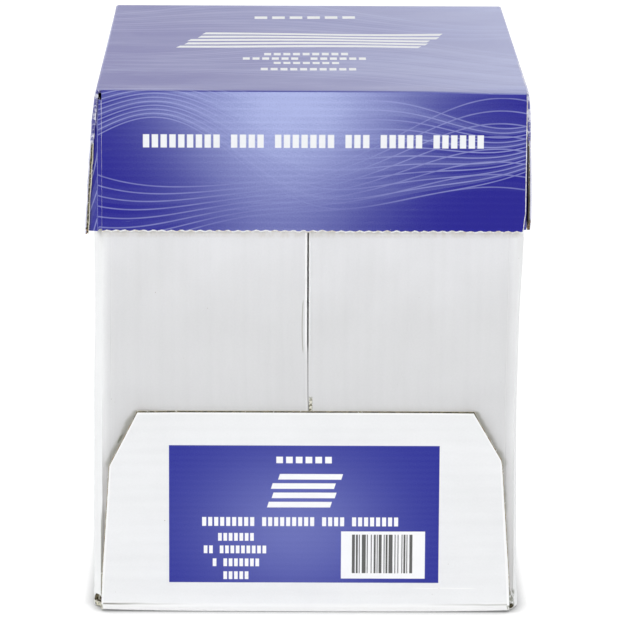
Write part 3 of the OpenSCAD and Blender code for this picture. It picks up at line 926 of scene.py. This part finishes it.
LID_CENTRE = 1.35
top_ripple, lid_ripple, rag = ripple(23, 110), ripple(31, 70), ripple(37, 5)


def wall_x(side, z):
    return np.interp(z, WALL_Z, WALL_LEFT if side < 0 else WALL_RIGHT)


def teeth(count, seed):
    """How far the serrated rule cut up into the foot of a wall, at each fine point along it."""
    rng = np.random.default_rng(seed)
    k = np.arange(count)
    cut = 0.36 - 0.36 * np.cos(2 * np.pi * k * (4.67 / FINE) / TOOTH + 0.4 * np.sin(k * 0.05))
    torn = np.convolve(rng.uniform(-0.3, 0.3, count + 2), [0.25, 0.5, 0.25], "valid")
    return np.clip(cut + torn, 0, 0.95)


def fine_row(values):
    return np.interp(np.arange((len(values) - 1) * FINE + 1) / FINE, np.arange(len(values)), values)


def foot_heights(count, seed):
    return FOOT_Z[:, None] + teeth(count, seed) * np.array([[0], [0.9], [0.95], [1.0]])


def lid_path(edge, wall, side=1):
    """A wall's section from the top's edge down: place and height on its two faces, then the way along it."""
    turn, path = np.radians(steps(0, 90, 18)), []
    for radius, depth in ((FOLD_R, 0), (FOLD_R - LID_T, LID_T)):
        path.append(np.concatenate([edge + side * radius * np.sin(turn), wall - side * depth]))
        path.append(np.concatenate([FOLD_Z + radius * np.cos(turn), LID_Z[1:]]))
    return *path, travelled(*path[:2])


def at_ends(count):
    return np.isin(np.arange(count), (0, count - 1))


def add_lid_top(sheet):
    y = LID_Y[:, None]
    sheet.patch(stack(LID_X, y, LID_TOP), stack(LID_X, y, LID_TOP - LID_T), stack(LID_X - LID_CENTRE, y))
    for side, edge in zip((-1, 1), EDGE_X):
        x, z, far_x, far_z, run = lid_path(edge, wall_x(side, LID_Z[1:]), side)
        on_blank = side * (run + abs(edge - LID_CENTRE))
        reach = 1 + (SIDE_Y / END_Y - 1) * smooth(run / 2)
        cut_edge = np.abs(y) > END_Y - 0.01
        raw = np.where(cut_edge, np.sign(y) * 0.35 * rag(z, 50 * side) * smooth(run / 6), 0)
        puff = np.where(cut_edge, 0.30 + 0.22 * rag(3 + z * 0.6, 9), 0)
        puff = side * puff * smooth(run / 5) * (1 if side < 0 else 0.2)
        line = np.interp(run, [0, 0.5, 1.2, 2.0], [0, 0.55 if side > 0 else 0.25, 0.45, 0])
        line = line * (0.35 + 0.65 * smooth((-y - 10) / 60))
        ids = sheet.patch(stack(x + puff, y * reach + raw, z), stack(far_x - puff, y * reach + raw, far_z),
                          stack(on_blank, y), wear=line)
        y_fine = fine_row(LID_Y * reach[-1] + raw[:, -1])
        z, puff = foot_heights(len(y_fine), 7 + side), fine_row(puff[:, -1])
        x = wall_x(side, z)
        fine = sheet.patch(stack(x + puff, y_fine, z), stack(x - side * LID_T - puff, y_fine, z),
                           stack(on_blank[-1] + side * (TAB_FOOT - z), y_fine), wear=FOOT_WEAR[:, None])
        sheet.stitch([row_ids[-1] for row_ids in ids], fine[0])


def add_lid_ends(sheet):
    x, corner_y = LID_X[1:-1], FACE_Y - CORNER_R + 0.05
    x_fine = fine_row(x)
    *path, run = lid_path(END_Y, np.full(len(LID_Z) - 1, FACE_Y))
    y, z, far_y, far_z, gone = (values[:, None] for values in (*path, run))
    far_y = np.where(at_ends(len(x)) & (z < TAB_TOP + 0.1), corner_y, far_y)
    far_fine = np.where(at_ends(len(x_fine)), corner_y, FACE_Y - LID_T)
    for end in (-1, 1):
        ids = sheet.patch(stack(x, end * y, z), stack(x, end * far_y, far_z),
                          stack(x - LID_CENTRE, end * (END_Y + gone)))
        foot = foot_heights(len(x_fine), 40 + end)
        fine = sheet.patch(stack(x_fine, end * FACE_Y, foot), stack(x_fine, end * far_fine, foot),
                           stack(x_fine - LID_CENTRE, end * (END_Y + run[-1] + TAB_FOOT - foot)),
                           wear=FOOT_WEAR[:, None])
        sheet.stitch(ids[-1], fine[0])
        for side, corner in zip((-1, 1), FLAT_X):
            add_lid_tab(sheet, side, end, corner, run, path[1])


SPLAY_Y = {-1: 153.5, 1: 148.9}


def add_lid_tab(sheet, side, end, corner, run, z_path):
    """A corner tab: round its fold, splayed out to the side wall, then glued along its inner face."""
    outer, inner, flat = [], [], []
    centre = np.array([abs(corner), FACE_Y - CORNER_R])
    for k, z in enumerate(z_path):
        if k < 5 or z > TAB_TOP + 0.01:
            continue
        face = abs(wall_x(side, z)) - LID_T - 0.05
        goal = np.array([face, SPLAY_Y[side]])
        heading = goal - (centre + [CORNER_R, 0])
        last = math.pi / 2 - max(math.atan2(heading[0], -heading[1]), 0.0)
        fold = [np.array([math.sin(t), math.cos(t)]) for t in np.linspace(0, last, 6)]
        out_row, in_row = [centre + CORNER_R * way for way in fold], [centre + 0.05 * way for way in fold]
        begin, line = out_row[-1], goal - out_row[-1]
        inward = -fold[-1]
        for t in np.linspace(0, 1, 7)[1:]:
            ease = smooth((t - 0.6) / 0.4)
            way = inward * (1 - ease) + np.array([-1.0, 0]) * ease
            thick = CORNER_R + (LID_T - CORNER_R) * smooth(t / 0.3)
            out_row.append(begin + line * t)
            in_row.append(begin + line * t + way / np.linalg.norm(way) * thick)
        for y in np.linspace(SPLAY_Y[side], 103, 10)[1:]:
            out_row.append(np.array([face, y]))
            in_row.append(np.array([face - LID_T, y]))
        out_row, in_row = np.array(out_row), np.array(in_row)
        gone = travelled(*out_row.T)
        outer.append(stack(side * out_row[:, 0], end * out_row[:, 1], z))
        inner.append(stack(side * in_row[:, 0], end * in_row[:, 1], z))
        flat.append(stack(side * abs(corner - LID_CENTRE) + side * gone, end * (END_Y + run[k])))
    worn = np.interp(np.arange(len(outer[0])), [0, 1, 2, 3, 4], [0, 0.8, 1, 0.5, 0])
    sheet.patch(np.array(outer), np.array(inner), np.array(flat), wear=worn)


def shaped_lid(points, tags):
    x, y, z = points.T.copy()
    inside = smooth((111 - np.abs(x - LID_CENTRE)) / 25) * smooth((END_Y + 1.5 - np.abs(y)) / 25)
    droop = 0.9 * smooth((-y - 140) / 13) * smooth((x - 55) / 50) * smooth((z - 274) / 1.2)
    sag = np.maximum(0.45 + 0.35 * top_ripple(x, y), 0.02) * inside * smooth((z - 274) / 1.2)
    front = smooth((np.abs(y) - 150) / 3) * smooth((FOLD_Z - z) / 20)
    calm = smooth((106 - np.abs(x - LID_CENTRE)) / 20)
    bow = front * calm * 0.16 * (1 + lid_ripple(x, z + 500 * (y > 0)))
    walls = smooth((np.abs(x - LID_CENTRE) - 108) / 1.5) * smooth((FOLD_Z - z) / 30)
    lean = walls * smooth((130 - np.abs(y)) / 30) * 0.25 * lid_ripple(y, z + 900 * (x > 0))
    frayed = 1.1 * smooth((214 - z) / 9) * smooth((x - 103) / 8) * (x < 111.9) * smooth((-y - 152) / 2)
    short = 5.6 * smooth((-y - 146) / 8) * smooth((211 - z) / 7) * (x > 111.95)
    hang = 1.3 * smooth((-y - 146) / 8) * smooth((211 - z) / 7) * (x < -109)
    placed_x = x - np.sign(x) * np.abs(lean) - frayed
    return np.stack([placed_x, y - np.sign(y) * bow, z - sag - droop + short - hang], -1)


def lid_groove(point, tag):
    at_foot = point[2] < LID_FOOT + 0.96 and abs(point[0] - LID_CENTRE) > 111.5
    return (0, 0, 1) if at_foot else None


def make_lid(finishes):
    sheet = Sheet()
    add_lid_top(sheet)
    add_lid_ends(sheet)
    lid = sheet.build("lid_board", finishes, 2, 1, shaped_lid, lid_groove, facing=0.25, depth=2.5)
    return lid, sheet


# What repeats: the corrugated medium in the open edges, and the torn fibres along the raw ones

class Tree(Nodes):
    """A Geometry Nodes tree with named inputs, which is run on a guide object."""

    def __init__(self, name, inputs):
        super().__init__(bpy.data.node_groups.new(name, "GeometryNodeTree"))
        sockets = self.tree.interface
        for way in ("INPUT", "OUTPUT"):
            sockets.new_socket("Geometry", in_out=way, socket_type="NodeSocketGeometry")
        self.names = {}
        for label, kind, value in inputs:
            made = sockets.new_socket(label, in_out="INPUT", socket_type="NodeSocket" + kind)
            self.names[label] = made.identifier
            if value is not None:
                made.default_value = value
        self.inputs = self.node("NodeGroupInput").socket.node.outputs

    def __getitem__(self, label):
        return Signal(self, self.inputs[label])

    def named(self, name, kind="FLOAT_VECTOR"):
        return self.node("GeometryNodeInputNamedAttribute", {"data_type": kind}, {"Name": name})

    def random(self, low, high, seed):
        """A number between two numbers for each point, or a vector between two vectors."""
        kind, first, out = ("FLOAT", 2, 1) if isinstance(low, float) else ("FLOAT_VECTOR", 0, 0)
        sockets = {first: low, first + 1: high, "Seed": seed}
        return self.node("FunctionNodeRandomValue", {"data_type": kind}, sockets, out)

    def close(self, geometry):
        real = self.node("GeometryNodeRealizeInstances", {}, {0: geometry})
        done = self.node("GeometryNodeSetMaterial", {}, {"Geometry": real, "Material": self["Finish"]})
        self.node("NodeGroupOutput", {}, {0: done})

    def run(self, name, guide, values):
        """Applies the tree to a guide object and returns the result as a plain object."""
        modifier = guide.modifiers.new(name, "NODES")
        modifier.node_group = self.tree
        for label, value in values.items():
            modifier[self.names[label]] = value
        bpy.context.view_layer.update()
        seen = guide.evaluated_get(bpy.context.evaluated_depsgraph_get())
        mesh = bpy.data.meshes.new_from_object(seen)
        guide.modifiers.remove(modifier)
        bpy.data.objects.remove(guide)
        mesh.name = name
        return put_in_scene(name, mesh)


def guide_line(name, runs, fields):
    """An object of plain edges along runs of points in millimetres, with named values at each point."""
    points = np.concatenate([np.array(run, float) for run in runs]) * MM
    starts = np.cumsum([0] + [len(run) for run in runs])
    edges = [(k, k + 1) for a, b in zip(starts, starts[1:]) for k in range(a, b - 1)]
    mesh = bpy.data.meshes.new(name)
    mesh.from_pydata(points.tolist(), edges, [])
    for label, values in fields.items():
        values = np.concatenate([np.array(v, float) for v in values]).astype(np.float32)
        kind, slot = ("FLOAT_VECTOR", "vector") if values.ndim == 2 else ("FLOAT", "value")
        mesh.attributes.new(label, kind, "POINT").data.foreach_set(slot, values.ravel())
    return put_in_scene(name, mesh)


def medium_tree():
    """Bends a strip of brown paper into flutes between the two facings of an open edge."""
    t = Tree("fluted_medium", [("Pitch", "Float", 0.006), ("Web", "Float", 0.0002), ("Steps", "Float", 8.0),
                               ("Finish", "Material", None)])
    curve = t.node("GeometryNodeMeshToCurve", {}, {0: t["Geometry"]})
    fine = t.node("GeometryNodeResampleCurve", {"mode": "LENGTH"},
                  {"Curve": curve, "Length": t["Pitch"] / t["Steps"]})
    wave = (t.named("run", "FLOAT") / t["Pitch"] * (2 * math.pi)).math("SINE")
    bent = t.node("GeometryNodeSetPosition", {}, {"Geometry": fine, "Offset": t.scale(t.named("half"), wave)})
    line = t.node("GeometryNodeCurveToMesh", {}, {"Curve": bent})
    sheet = t.node("GeometryNodeExtrudeMesh", {"mode": "EDGES"},
                   {"Mesh": line, "Offset": t.named("into"), "Offset Scale": 1.0})
    thick = t.node("GeometryNodeExtrudeMesh", {"mode": "FACES"},
                   {"Mesh": sheet, "Offset Scale": t["Web"], "Individual": False})
    back = t.node("GeometryNodeFlipFaces", {}, {"Mesh": sheet})
    both = t.node("GeometryNodeJoinGeometry", {}, {0: [back, thick]})
    whole = t.node("GeometryNodeMergeByDistance", {}, {"Geometry": both, "Distance": 0.000002})
    t.close(t.node("GeometryNodeSetShadeSmooth", {}, {"Geometry": whole, "Shade Smooth": False}))
    return t


def fibre_tree():
    """Scatters torn flakes of paper along an edge. torn is their share at each point, half the way across."""
    t = Tree("torn_fibres", [("Spacing", "Float", 0.0009), ("Size", "Float", 0.0007),
                             ("Finish", "Material", None)])
    curve = t.node("GeometryNodeMeshToCurve", {}, {0: t["Geometry"]})
    dots = t.node("GeometryNodeCurveToPoints", {"mode": "LENGTH"}, {"Curve": curve, "Length": t["Spacing"]})
    across = t.scale(t.named("half"), t.random(-1.1, 0.65, 11))
    loose = t.scale(t.named("out"), t.random(-0.5, 0.5, 13))
    off = t.node("ShaderNodeVectorMath", {"operation": "ADD"}, {0: across, 1: loose})
    put = t.node("GeometryNodeSetPosition", {}, {"Geometry": dots, "Offset": off})
    kept = t.node("FunctionNodeCompare", {"data_type": "FLOAT", "operation": "LESS_THAN"},
                  {0: t.random(0.0, 1.0, 17), 1: t.named("torn", "FLOAT")})
    flake = t.node("GeometryNodeMeshIcoSphere", {}, {"Radius": t["Size"], "Subdivisions": 1})
    flat = t.node("GeometryNodeTransform", {}, {"Geometry": flake, "Scale": (1.0, 0.5, 0.22)})
    turned = t.random((0, 0, 0), (6.283, 6.283, 6.283), 19)
    sized = t.random((0.5, 0.5, 0.6), (1.6, 1.2, 1.2), 23)
    t.close(t.node("GeometryNodeInstanceOnPoints", {},
                   {"Points": put, "Selection": kept, "Instance": flat, "Rotation": turned, "Scale": sized}))
    return t


def flutes(tree, name, sheet, pitch, finish):
    """The medium in every open edge of a sheet."""
    middles, halves, intos, lengths = [], [], [], []
    for run in sheet.grooves:
        top = np.array([(point[0] + point[3]) / 2 for point in run])
        foot = np.array([(point[1] + point[2]) / 2 for point in run])
        across = np.array([(point[0] - point[3]) / 2 for point in run])
        middles.append(top + (foot - top) * 0.02)
        halves.append(across * 0.93 * MM)
        intos.append((foot - top) * 0.96 * MM)
        lengths.append(travelled(*top.T) * MM)
    guide = guide_line(name + "_guide", middles, {"half": halves, "into": intos, "run": lengths})
    return tree.run(name, guide, {"Pitch": pitch, "Web": 0.00022, "Steps": 8.0, "Finish": finish})


def fibres(tree, name, sheet, share, finish, spacing, size):
    """Torn flakes along a sheet's cut edges. share(points) is how torn the edge is at each point."""
    lines, halves, outs, torn = [], [], [], []
    for run in sheet.edges:
        outer, inner = (np.array([pair[k] for pair in run]) for k in (0, 1))
        amount = share(outer)
        if len(run) < 3 or amount.max() <= 0:
            continue
        along = np.gradient(outer, axis=0)
        away = np.cross(along, outer - inner)
        away /= np.maximum(np.linalg.norm(away, axis=1), 1e-6)[:, None]
        lines.append((outer + inner) / 2)
        halves.append((outer - inner) / 2 * MM)
        outs.append(away * 0.0003)
        torn.append(amount)
    guide = guide_line(name + "_guide", lines, {"half": halves, "out": outs, "torn": torn})
    return tree.run(name, guide, {"Spacing": spacing, "Size": size, "Finish": finish})


def lid_torn(points):
    x, y, z = points.T
    upright = (np.abs(x) > 109) & (z > 206) & (z < 274) & (np.abs(y) > 153.2)
    foot = (z < 206) & (np.abs(y) > 154.2)
    side_foot = (z < 206) & (np.abs(x - LID_CENTRE) > 111)
    ragged_end = foot & (x > 103)
    return 0.55 * upright + 0.16 * foot + 0.22 * side_foot + 0.6 * ragged_end


def tray_torn(points):
    x, y, z = points.T
    corner = (x < -104) & (y < -146) & (z < 7.5)
    notch = (x > 80) & (x < 106) & (y < -154) & (z > 87) & (z < 95)
    return 0.9 * corner + 0.5 * notch + 0.10 * (np.abs(y) > 154) * (z > 8)


# The wrapped reams

REAMS = 5
REAM_W, REAM_L, REAM_H = 210.0, 298.2, 54.0


def ream_face(count_a, count_b):
    """Places from -1 to 1 on one side of a ream, closer together along its rounded edges."""
    near = np.array([-1, -0.992, -0.98, -0.965])
    return [np.concatenate([near, np.linspace(-0.94, 0.94, count), -near[::-1]])
            for count in (count_a, count_b)]


def make_ream(node, level, finish, fine):
    """A sealed ream: rounded edges, a wrapper pulled tight over them, and ends folded like a parcel's."""
    half = np.array([REAM_W, REAM_L, REAM_H]) / 2
    radius = 1.8
    middle = np.array([0, 0, BOARD + REAM_H * level + half[2]])
    slack, crease = ripple(61 + level, 48, 10), ripple(71 + level, 17, 8)
    skin, faces, found = [], [], {}
    sizes = (52, 74, 14) if fine else (26, 37, 8)
    for axis in range(3):
        a, b = (axis + 1) % 3, (axis + 2) % 3
        on_a, on_b = ream_face(sizes[a], sizes[b])
        for way in (-1, 1):
            ids = []
            for s_a in on_a:
                line = []
                for s_b in on_b:
                    place = np.zeros(3)
                    place[axis], place[a], place[b] = way * half[axis], s_a * half[a], s_b * half[b]
                    key = tuple(int(round(c * 2000)) for c in place)
                    if key not in found:
                        core = np.clip(place, -half + radius, half - radius)
                        gap = place - core
                        size = np.linalg.norm(gap)
                        found[key] = len(skin)
                        skin.append(core + gap / size * radius)
                    line.append(found[key])
                ids.append(line)
            for upper, lower in zip(ids, ids[1:]):
                for p, q, r, t in zip(upper, upper[1:], lower[1:], lower):
                    faces.append([p, t, r, q][::way])
    points = np.array(skin)
    x, y, z = points.T
    on_top = smooth((np.abs(z) - half[2] + 4) / 3)
    at_end = smooth((np.abs(y) - half[1] + 2.5) / 2)
    edge = smooth((half[0] - np.abs(x)) / 26) * smooth((half[1] - np.abs(y)) / 26)
    dent = 0.16 * (1 + slack(x, y)) * (1 - edge * 0.55) + 0.07 * (1 + crease(x * 0.5, y)) * (1 - edge)
    points[:, 2] -= np.sign(z) * np.clip(dent, 0, 0.6) * on_top
    flap = np.where(z < 4, (half[0] - np.abs(x) - (z + half[2]) * 0.9), -1)
    over = np.where(z > -4, (half[0] - np.abs(x) - (half[2] - z) * 0.9), -1)
    fold = 0.35 * smooth(flap / 2) + 0.35 * smooth(over / 2)
    points[:, 1] -= np.sign(y) * (0.75 - fold) * at_end
    points[:, 0] -= np.sign(x) * 0.12 * (1 + slack(y, z)) * smooth((np.abs(x) - half[0] + 2.5) / 2)
    return make_mesh(node, points + middle, faces, [0] * len(faces), [finish], angle=50)


# Scene

AIM = (0, 0, 0.14)
WORLD_TINT, WORLD_LIGHT = (0.96, 0.98, 1.0, 1), 0.28
FLOOR_LIT, FLOOR_SEEN = (0.86, 0.86, 0.86), (0.30, 0.30, 0.30)
FLOOR_HALF = 9000


def backdrop_rays(p):
    """1 for the rays that find a plain white background: the camera's, those off gloss and through glass."""
    kinds = ("Is Camera Ray", "Is Glossy Ray", "Is Transmission Ray")
    return reduce(Signal.at_least, [p.node("ShaderNodeLightPath", out=kind) for kind in kinds])


def white_world():
    world = bpy.data.worlds.new("studio")
    world.use_nodes = True
    bpy.context.scene.world = world
    w = Nodes(world.node_tree)
    light = w.node("ShaderNodeBackground", {}, {"Color": WORLD_TINT, "Strength": WORLD_LIGHT})
    white = w.node("ShaderNodeBackground", {}, {"Color": (1, 1, 1, 1), "Strength": 1.0})
    w.node("ShaderNodeOutputWorld", {},
           {"Surface": w.node("ShaderNodeMixShader", {}, {0: backdrop_rays(w), 1: light, 2: white})})


def lamp(name, place, width, height, power):
    """A soft box that is turned to the carton."""
    data = bpy.data.lights.new(name, "AREA")
    data.shape, data.size, data.size_y, data.energy = "RECTANGLE", width, height, power
    lit = put_in_scene(name, data)
    lit.location = place
    lit.rotation_euler = (Vector(AIM) - Vector(place)).to_track_quat("-Z", "Y").to_euler()


def make_floor():
    """A pale floor that shows white, apart from the carton's shadow and the dark line where it stands."""
    p = Paint("floor_white")
    seen = p.node("ShaderNodeLightPath", out="Is Camera Ray")
    near = p.node("ShaderNodeAmbientOcclusion", {"samples": 12}, {"Distance": 0.009}, "AO")
    white = p.mix(seen * (near * 1.1 - 0.22).at_least(0.12), (0, 0, 0), (1, 1, 1))
    base = p.node("ShaderNodeBsdfDiffuse", {}, {"Color": p.mix(seen, FLOOR_LIT, FLOOR_SEEN)})
    glow = p.node("ShaderNodeEmission", {}, {"Color": white, "Strength": 1.0})
    p.node("ShaderNodeOutputMaterial", {}, {"Surface": p.node("ShaderNodeAddShader", {}, {0: base, 1: glow})})
    corners = [(x * FLOOR_HALF, y * FLOOR_HALF, 0) for x, y in ((-1, -1), (1, -1), (1, 1), (-1, 1))]
    make_mesh("floor", corners, [[0, 1, 2, 3]], [0], [p.material])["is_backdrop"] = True


bpy.context.scene.view_settings.view_transform = "Standard"
white_world()
# Soft boxes: where each stands and its width and height, in metres, and its power in watts
lamp("left_box", (-1.80, -1.90, 0.80), 1.9, 1.2, 21.6)
lamp("left_side_box", (-2.70, -0.25, 2.00), 1.6, 1.6, 25)
lamp("right_box", (1.75, -1.95, 0.80), 1.9, 1.2, 20.2)
lamp("right_side_box", (2.70, -0.35, 2.00), 1.6, 1.6, 17)
lamp("front_box", (-0.30, -3.4, 1.35), 1.8, 1.2, 9.5)
lamp("top_box", (0.3, -0.5, 3.2), 1.6, 1.6, 9)
lamp("back_left_box", (-2.2, 2.1, 1.35), 1.9, 1.3, 20)
lamp("back_right_box", (2.2, 2.1, 1.35), 1.9, 1.3, 20)
make_floor()

tray, tray_sheet = make_tray([tray_face(), kraft_face("tray_inside", TRAY_FLUTE),
                              raw_edge("tray_raw_edge", (0.8, 0.79, 0.76), 0.13), label_face()])
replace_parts(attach(tray, "tray"), "tray")
lid, lid_sheet = make_lid([lid_face(), kraft_face("lid_inside", LID_FLUTE),
                           raw_edge("lid_raw_edge", (0.45, 0.46, 0.68), 0.31, 0.85)])
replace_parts(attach(lid, "lid"), "lid")
medium, fluff = medium_finish(), fluff_finish()
flute_tree, torn_tree = medium_tree(), fibre_tree()
pieces = [
    (flutes(flute_tree, "tray_flutes", tray_sheet, TRAY_FLUTE, medium), "tray"),
    (flutes(flute_tree, "lid_flutes", lid_sheet, LID_FLUTE, medium), "lid"),
    (fibres(torn_tree, "tray_torn_fibres", tray_sheet, tray_torn, fluff, 0.0010, 0.00055), "tray"),
    (fibres(torn_tree, "lid_torn_fibres", lid_sheet, lid_torn, fluff, 0.0008, 0.00042), "lid"),
]
for piece, body in pieces:
    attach(piece, body)

for level in range(REAMS):
    node = "ream_%d" % (level + 1)
    finish = wrapper_finish(node + "_wrapper", (BOARD + level * REAM_H) * MM)
    ream = make_ream(node + "_wrapped", level, finish, fine=level == REAMS - 1)
    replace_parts(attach(ream, "tray"), node)

corners = [[list(c) for c in box] for box in (CAD_BOX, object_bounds())]
{"cad_box": corners[0], "visual_box": corners[1]}
